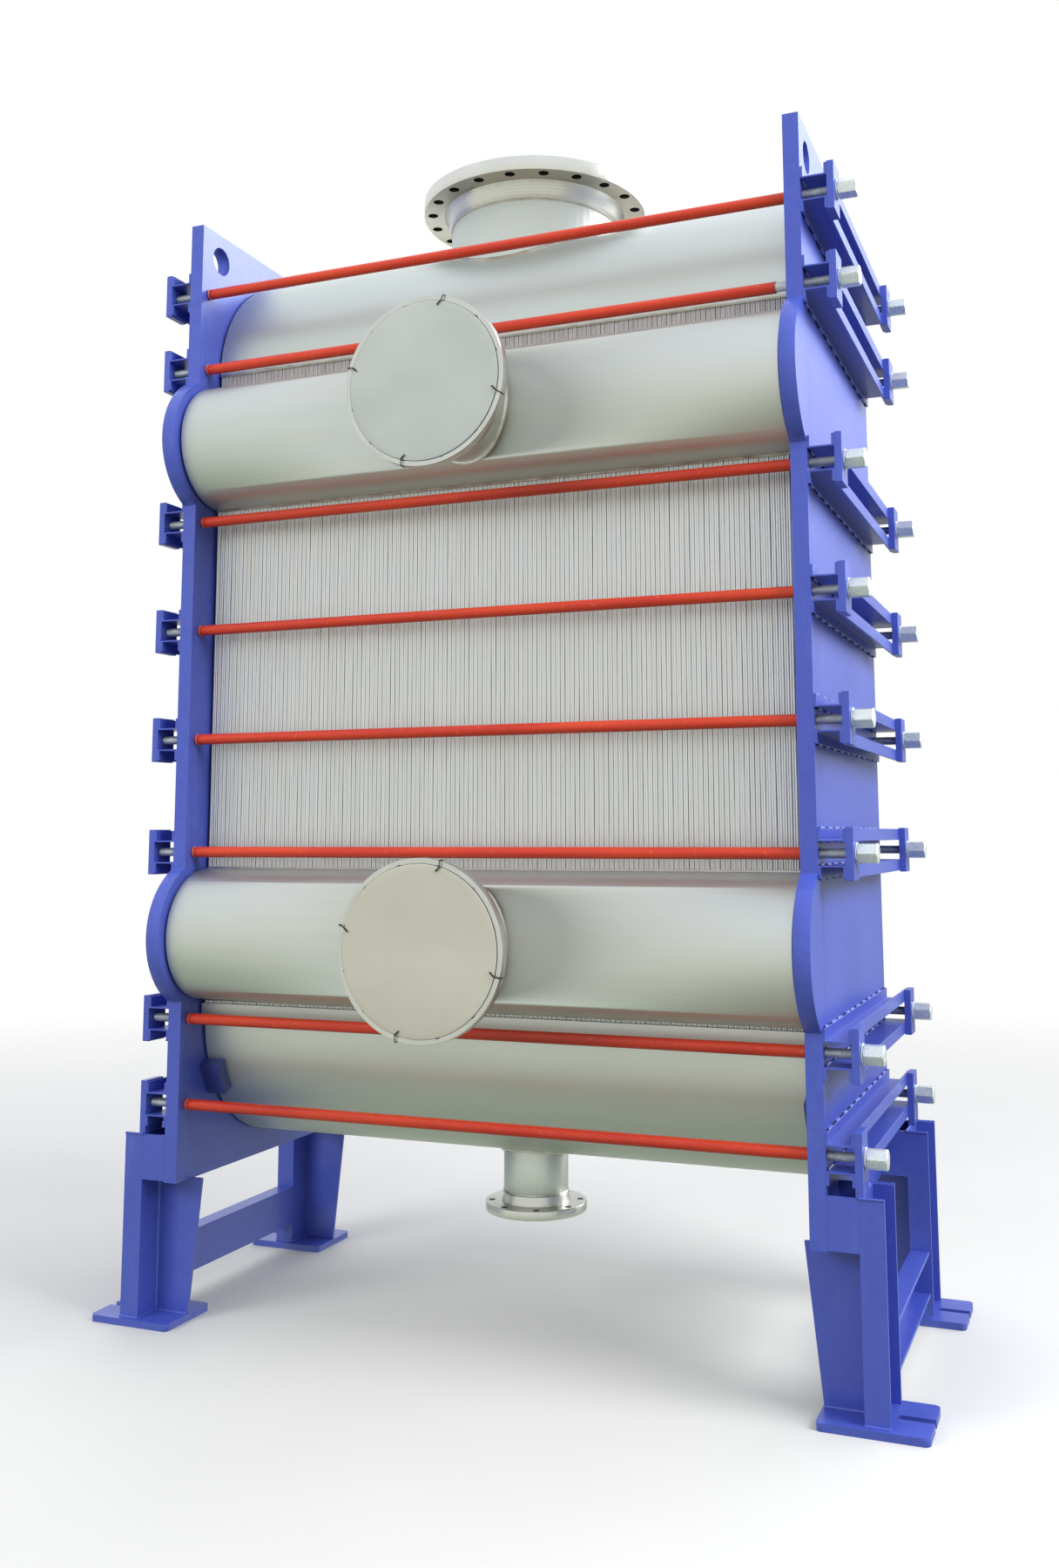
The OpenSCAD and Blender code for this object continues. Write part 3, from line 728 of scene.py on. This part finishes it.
def header_seams():
    """Long seams where the four header shells meet the pack."""
    shape = Shape()
    seams = []
    for name in ("upper_front", "lower_front"):
        low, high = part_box(name + "_header_shell")
        seams += [(pack_low.y - 0.002, low.z - 0.001), (pack_low.y - 0.002, high.z + 0.001)]
    for name, z in (("top", pack_high.z), ("bottom", pack_low.z)):
        low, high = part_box(name + "_header_shell")
        seams += [(low.y + 0.001, z), (high.y - 0.001, z)]
    for y, z in seams:
        path = steps(Vector((pack_low.x + 0.002, y, z)), Vector((pack_high.x - 0.002, y, z)), 0.008)
        shape.tube(path, 0.006, 6, ripple=0.16)
    piece("header_seams", shape, WELD)


def saddle_path(pipe_r, header_r, out, centre, sides=72):
    """The curve where a pipe meets a header whose axis runs along X."""
    across = Vector((1, 0, 0)).cross(out)
    points = []
    for turn in turns(sides):
        side = pipe_r * math.sin(turn)
        rise = math.sqrt(header_r ** 2 - side ** 2)
        points.append(centre + Vector((pipe_r * math.cos(turn), 0, 0)) + across * side + out * rise)
    return points


def port_welds():
    """A fillet where each pipe leaves its header, and a butt weld where it meets the flange's hub."""
    shape = Shape()
    for name, out in (("top", UP), ("bottom", -UP)):
        low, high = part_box(name + "_port_pipe")
        shell_low, shell_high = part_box(name + "_header_shell")
        header_r = shell_high.z - shell_low.z
        radius = (high.x - low.x) / 2
        base = pack_high.z if name == "top" else pack_low.z
        shape.tube(saddle_path(radius + 0.003, header_r, out, Vector((0, mid_y, base))), 0.008, 7,
                   closed=True, ripple=0.12)
        meet = high.z if name == "top" else low.z
        circle = [Vector((math.cos(t) * radius, mid_y + math.sin(t) * radius, meet)) for t in turns(90)]
        shape.tube(circle, 0.0035, 6, closed=True, ripple=0.15)
    for name in ("upper_front", "lower_front"):
        low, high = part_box(name + "_port_pipe")
        shell_low, shell_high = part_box(name + "_header_shell")
        radius = (high.x - low.x) / 2
        centre = Vector((0, pack_low.y, (shell_low.z + shell_high.z) / 2))
        header_r = (shell_high.z - shell_low.z) / 2
        shape.tube(saddle_path(radius + 0.003, header_r, Vector((0, -1, 0)), centre), 0.007, 7,
                   closed=True, ripple=0.12)
        circle = [Vector((math.cos(t) * radius, low.y, centre.z + math.sin(t) * radius)) for t in turns(90)]
        shape.tube(circle, 0.003, 6, closed=True, ripple=0.15)
    piece("port_welds", shape, WELD)


def beam_welds(side):
    """Short beads along the channels on an end plate's outer face, with painted shade between them: a thin
    dark strip along each joint.
    """
    sign = -1 if side == "left" else 1
    x = sign * (outer_x + 0.0015)
    half_slot = BEAM_SLOT / 2
    low_y = front_y + 0.02
    high_y = rear_y - 0.02
    beads = Shape()
    joint_shade_strips = Shape()
    for z in rod_rows:
        for up in (-1, 1):
            for reach in (half_slot, half_slot + CHANNEL_WIDTH):
                line = z + up * reach
                # painted shade: a thin dark strip along the joint
                joint_shade_strips.tube([Vector((x, low_y, line)), Vector((x, high_y, line))], 0.0032, 5)
                y = low_y + random.uniform(0, 0.03)
                while y < high_y - 0.05:
                    length = random.uniform(0.035, 0.062)
                    path = steps(Vector((x, y, line)), Vector((x, y + length, line)), 0.006)
                    beads.tube(path, 0.0052, 6, ripple=0.25)
                    y += length + random.uniform(0.045, 0.075)
    piece(side + "_beam_welds", beads, BLUE_WELD)
    piece(side + "_beam_joint_shade", joint_shade_strips, JOINT_SHADE)


def leg_welds():
    """Fillets where the columns and tapered plates stand on the base plates and meet the heads."""
    shape = Shape()

    def bead(a, b, r=0.006):
        shape.tube(steps(Vector(a), Vector(b), 0.007), r, 6, ripple=0.22)

    for end in ("front", "rear"):
        for side in ("left", "right"):
            leg = f"{end}_{side}_"
            low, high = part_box(leg + "leg_column")
            floor_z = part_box(leg + "base_plate")[1].z + 0.001
            for y in (low.y, high.y):
                bead((low.x, y, floor_z), (high.x, y, floor_z))
                bead((low.x, y, high.z), (high.x, y, high.z), 0.004)
            web_x = low.x if side == "right" else high.x
            bead((web_x, low.y, floor_z), (web_x, high.y, floor_z))
            bead((web_x, low.y, high.z), (web_x, high.y, high.z), 0.004)
            low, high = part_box(leg + "leg_taper")
            face_y = low.y if end == "front" else high.y
            bead((web_x, face_y, floor_z), (web_x, face_y, high.z), 0.007)
            toe_x = math.copysign(inner_x + TAPER_FOOT_IN, web_x)
            bead((toe_x, face_y, floor_z), (web_x, face_y, floor_z))
    piece("leg_welds", shape, BLUE_WELD)


# ---------------------------------------------------------------- floor, light and camera

def studio_floor():
    """A pale disc that fades out with distance from its middle, so that it has no edge."""
    net = Net("pale_floor", Roughness=0.7)
    fac = net.span(net.noise(0.8, detail=3), 0.3, 0.7, 0, 1)
    net.paint(Base_Color=net.mix(fac, (0.60, 0.60, 0.58, 1), (0.63, 0.63, 0.61, 1)))
    fade_from = 3.0
    fade_to = 9.0
    reach = net.tree.nodes.new("ShaderNodeVectorMath")
    reach.operation = "LENGTH"
    net.tree.links.new(net.place, reach.inputs[0])
    clear = net.tree.nodes.new("ShaderNodeBsdfTransparent")
    blend = net.tree.nodes.new("ShaderNodeMixShader")
    fade = net.span(reach.outputs["Value"], fade_from, fade_to, 0, 1)
    net.tree.links.new(fade, blend.inputs[0])
    net.tree.links.new(net.shader.outputs[0], blend.inputs[1])
    net.tree.links.new(clear.outputs[0], blend.inputs[2])
    net.tree.links.new(blend.outputs[0], net.tree.nodes["Material Output"].inputs["Surface"])
    radius = 10
    sides = 64
    rim = [(radius * math.cos(t), radius * math.sin(t), -0.0005) for t in turns(sides)]
    mesh = bpy.data.meshes.new("floor")
    mesh.from_pydata(rim, [], [range(sides)])
    mesh.materials.append(net.material)
    obj = bpy.data.objects.new("floor", mesh)
    obj.visible_glossy = False
    obj.visible_diffuse = False
    bpy.context.scene.collection.objects.link(obj)


def area_light(name, place, target, size, power):
    """A large soft lamp, which the steel doesn't mirror."""
    light = bpy.data.lights.new(name, "AREA")
    light.shape = "RECTANGLE"
    light.size, light.size_y = size
    light.energy = power
    obj = bpy.data.objects.new(name, light)
    obj.visible_glossy = False
    obj.location = place
    obj.rotation_euler = (Vector(target) - Vector(place)).to_track_quat("-Z", "Y").to_euler()
    bpy.context.scene.collection.objects.link(obj)


# colours of the surroundings by height: 0 is straight down, 0.5 the horizon and 1 straight up
AMBIENT_SKY = (
    (0.0, (0.30, 0.33, 0.29)), (0.46, (0.36, 0.38, 0.33)), (0.52, (0.62, 0.64, 0.60)),
    (0.62, (0.74, 0.76, 0.74)), (0.80, (0.88, 0.90, 0.98)), (1.0, (1.0, 1.0, 1.08)),
)
MIRRORED_SKY = (
    (0.0, (0.30, 0.34, 0.28)), (0.18, (0.54, 0.61, 0.50)), (0.41, (0.92, 0.97, 0.89)),
    (0.65, (1.02, 1.06, 1.07)), (0.88, (1.06, 1.13, 1.22)), (1.0, (1.04, 1.12, 1.22)),
)

# parts of the sky that are brighter or darker: the direction of the middle, then how near to it the
# change starts and is complete (as cosines), and the strengths at those two
AMBIENT_SIDE = ((0.45, 0.89, 0), (-0.2, 0.9, 0.92, 1.5))
WINDOW = ((0.60, 0.66, 0.45), (0.90, 0.985, 1.0, 11.0))
FAR_WALL = ((0.16, 0.98, 0.10), (0.82, 0.96, 1.0, 0.38))
REAR_SKY = ((0, 0.60, 0.80), (0.60, 1.0, 1.0, 1.25))


def sky_ramp(tree, height, stops):
    """A colour that changes with height, through the given stops."""
    ramp = tree.nodes.new("ShaderNodeValToRGB")
    tree.links.new(height, ramp.inputs[0])
    for where, _ in stops[2:]:
        ramp.color_ramp.elements.new(where)
    for element, (where, colour) in zip(ramp.color_ramp.elements, stops):
        element.position = where
        element.color = (*colour, 1)
    return ramp.outputs["Color"]


def sky_glow(tree, ray, toward, span):
    """A strength that changes with how near a ray is to a direction."""
    near = tree.nodes.new("ShaderNodeVectorMath")
    near.operation = "DOT_PRODUCT"
    near.inputs[1].default_value = toward
    tree.links.new(ray, near.inputs[0])
    glow = tree.nodes.new("ShaderNodeMapRange")
    for socket, value in zip(("From Min", "From Max", "To Min", "To Max"), span):
        glow.inputs[socket].default_value = value
    tree.links.new(near.outputs["Value"], glow.inputs["Value"])
    return glow.outputs["Result"]


def studio_world():
    """Light from all round: what lights the paint, what the steel mirrors, and white for the camera."""
    world = bpy.data.worlds.new("studio")
    bpy.context.scene.world = world
    world.use_nodes = True
    tree = world.node_tree
    ray = tree.nodes.new("ShaderNodeTexCoord").outputs["Generated"]
    split = tree.nodes.new("ShaderNodeSeparateXYZ")
    tree.links.new(ray, split.inputs[0])
    above_floor = tree.nodes.new("ShaderNodeMapRange")
    above_floor.inputs["From Min"].default_value = -1
    tree.links.new(split.outputs["Z"], above_floor.inputs["Value"])
    height = above_floor.outputs["Result"]
    path = tree.nodes.new("ShaderNodeLightPath")

    ambient = tree.nodes["Background"]
    tree.links.new(sky_ramp(tree, height, AMBIENT_SKY), ambient.inputs["Color"])
    tree.links.new(sky_glow(tree, ray, *AMBIENT_SIDE), ambient.inputs["Strength"])

    mirrored = tree.nodes.new("ShaderNodeBackground")
    tree.links.new(sky_ramp(tree, height, MIRRORED_SKY), mirrored.inputs["Color"])
    strength = sky_glow(tree, ray, *WINDOW)
    for patch in (FAR_WALL, REAR_SKY):
        product = tree.nodes.new("ShaderNodeMath")
        product.operation = "MULTIPLY"
        tree.links.new(strength, product.inputs[0])
        tree.links.new(sky_glow(tree, ray, *patch), product.inputs[1])
        strength = product.outputs[0]
    tree.links.new(strength, mirrored.inputs["Strength"])

    plain = tree.nodes.new("ShaderNodeBackground")
    plain.inputs["Color"].default_value = (1, 1, 1, 1)
    surface = ambient.outputs[0]
    for kind, other in (("Is Glossy Ray", mirrored), ("Is Camera Ray", plain)):
        blend = tree.nodes.new("ShaderNodeMixShader")
        tree.links.new(path.outputs[kind], blend.inputs[0])
        tree.links.new(surface, blend.inputs[1])
        tree.links.new(other.outputs[0], blend.inputs[2])
        surface = blend.outputs[0]
    tree.links.new(surface, tree.nodes["World Output"].inputs["Surface"])


def studio_camera():
    """Stands 1.6 m up, in front and to the right, and looks slightly up."""
    camera = bpy.data.cameras.new("camera")
    camera.lens = 32.595
    camera.sensor_width = 36
    camera.shift_x = -0.0123
    camera.shift_y = -0.0828
    obj = bpy.data.objects.new("camera", camera)
    turn = Euler((math.radians(97.246), 0, math.radians(21.689))).to_matrix()
    roll = Matrix.Rotation(math.radians(-0.156), 3, "Z")
    obj.rotation_euler = (turn @ roll).to_euler()
    obj.location = (1.8975, front_y - 4.0668, 1.6004)
    bpy.context.scene.collection.objects.link(obj)
    bpy.context.scene.camera = obj


# ---------------------------------------------------------------- build

dress_frame()
dress_flanges()
plate_pack()
for end in ("front", "rear"):
    tie_rods(end)
    rod_sleeves(end)
nuts()
for side in ("left", "right"):
    beam_welds(side)
for level in ("upper", "lower"):
    blank_sheet(level)
    wire_ties(level)
header_seams()
port_welds()
leg_welds()
studio_floor()
studio_world()
studio_camera()
area_light("key", (6.5, -1.5, 5.5), (0.8, 0.2, 1.8), (4, 4), 620)
area_light("fill", (-4.5, -6.5, 4.5), (0, 0, 2.0), (4, 3), 330)
bpy.context.scene.view_settings.view_transform = "Standard"
